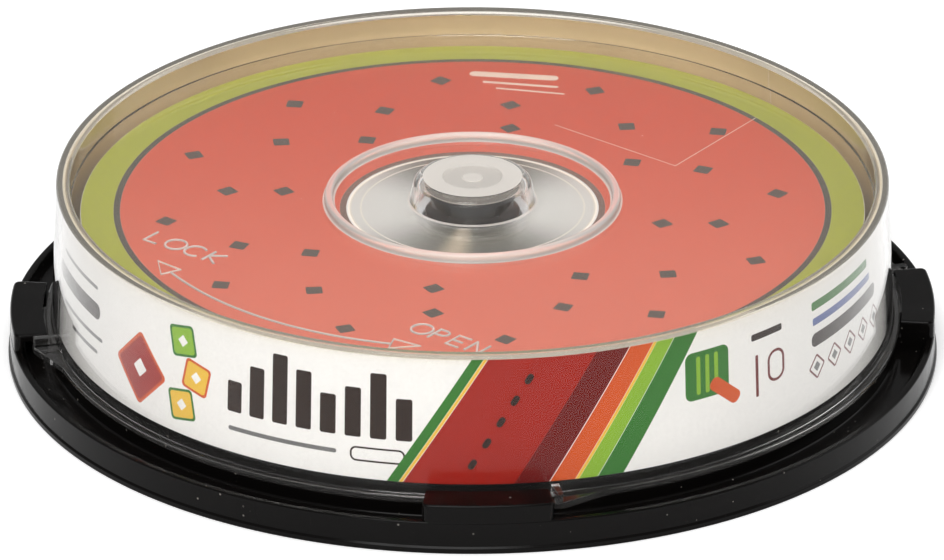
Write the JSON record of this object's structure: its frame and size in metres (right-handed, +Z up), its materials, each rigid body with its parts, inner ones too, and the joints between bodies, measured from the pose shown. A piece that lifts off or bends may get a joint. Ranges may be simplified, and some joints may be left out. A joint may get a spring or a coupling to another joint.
{
  "type": "compact disc spindle box",
  "caption": "Round spindle box holding a stack of compact discs on a post, under a clear turn-to-lock cover with a printed paper wrap.",
  "frame": {"origin": "centre of the base, on the surface that it stands on", "axes": "+Z up along the post, which is the axis that the cover turns about; the words on the cover face -Y"},
  "size_m": [0.1426, 0.1426, 0.029],
  "materials": {
    "base_plastic": "polished black moulding",
    "cover_plastic": "clear moulding, slightly milky",
    "wrap_paper": "white printed paper",
    "disc": "printed red face with a green rim"
  },
  "bodies": {
    "base": {"base": "base_plastic", "disc_01": "disc", "disc_02": "disc", "disc_03": "disc", "disc_04": "disc", "disc_05": "disc", "disc_06": "disc", "disc_07": "disc", "disc_08": "disc", "disc_09": "disc", "disc_10": "disc"},
    "cover": {"cover": "cover_plastic", "label_wrap": "wrap_paper"}
  },
  "joints": [
    {"name": "cover_turn", "type": "hinge", "parent": "base", "child": "cover", "pos_m": [0, 0, 0.0055], "axis": [0, 0, 1], "range_deg": [0, 62]}
  ]
}
